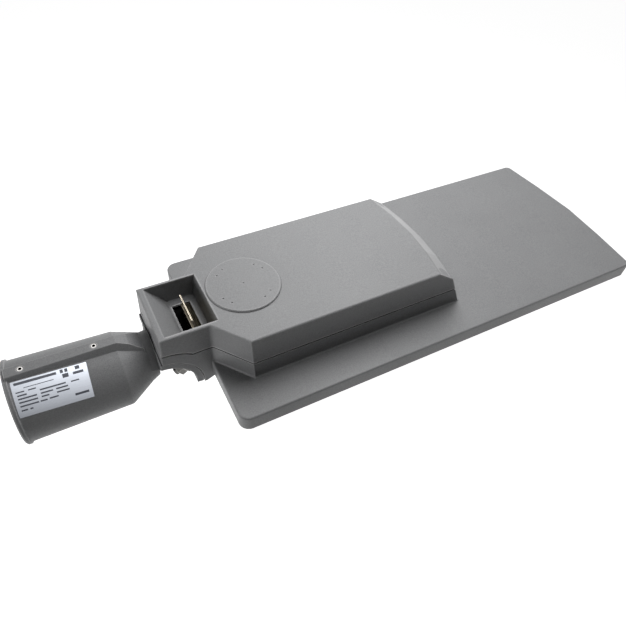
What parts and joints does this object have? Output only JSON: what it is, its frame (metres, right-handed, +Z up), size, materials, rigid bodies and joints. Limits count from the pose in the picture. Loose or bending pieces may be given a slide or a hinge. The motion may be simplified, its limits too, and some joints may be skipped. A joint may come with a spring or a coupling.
{
  "type": "led street light head",
  "caption": "Flat panel street light head with a raised driver housing, hinged on a clamped saddle to a pole spigot.",
  "frame": {"origin": "centre of the pole socket's mouth, on the spigot's axis", "axes": "+X along the spigot's axis from the pole towards the lamp, +Y across the lamp, +Z up, away from the light"},
  "size_m": [0.7123, 0.23, 0.1128],
  "materials": {
    "powder_coat": "fine textured powder coat, mid grey",
    "stainless": "plain stainless steel",
    "yellow_zinc": "yellow passivated zinc plate",
    "silicone_seal": "matt black silicone",
    "silicone_pad": "matt white silicone",
    "driver_case": "satin anodised",
    "black_nylon": "moulded",
    "grey_nylon": "moulded",
    "blue_grey_case": "moulded",
    "white_board": "white solder mask on an aluminium core",
    "phosphor": "yellow phosphor",
    "clear_acrylic": "clear polished moulding"
  },
  "bodies": {
    "spigot": {"pole_spigot": "powder_coat", "spigot_set_screws": "stainless"},
    "head": {"base_casting": "powder_coat", "top_cover": "powder_coat", "cover_gasket": "silicone_seal", "cover_screws": "stainless", "clamp_bar": "yellow_zinc", "lug_boot": "silicone_seal", "clamp_bolts": "stainless", "clamp_washers": "stainless", "clamp_nuts": "stainless", "cable_gland": "black_nylon", "gland_locknut": "black_nylon", "led_driver": "driver_case", "driver_screws": "stainless", "surge_protector": "blue_grey_case", "terminal_block": "grey_nylon", "earth_screw": "yellow_zinc", "led_boards": "white_board", "led_chips": "phosphor", "lens_gaskets": "silicone_pad", "lens_plates": "clear_acrylic", "lens_screws": "stainless"}
  },
  "joints": [
    {"name": "head_tilt", "type": "hinge", "parent": "spigot", "child": "head", "pos_m": [0.1298, 0, -0.0122], "axis": [0, 1, 0], "range_deg": [0, 25]}
  ]
}
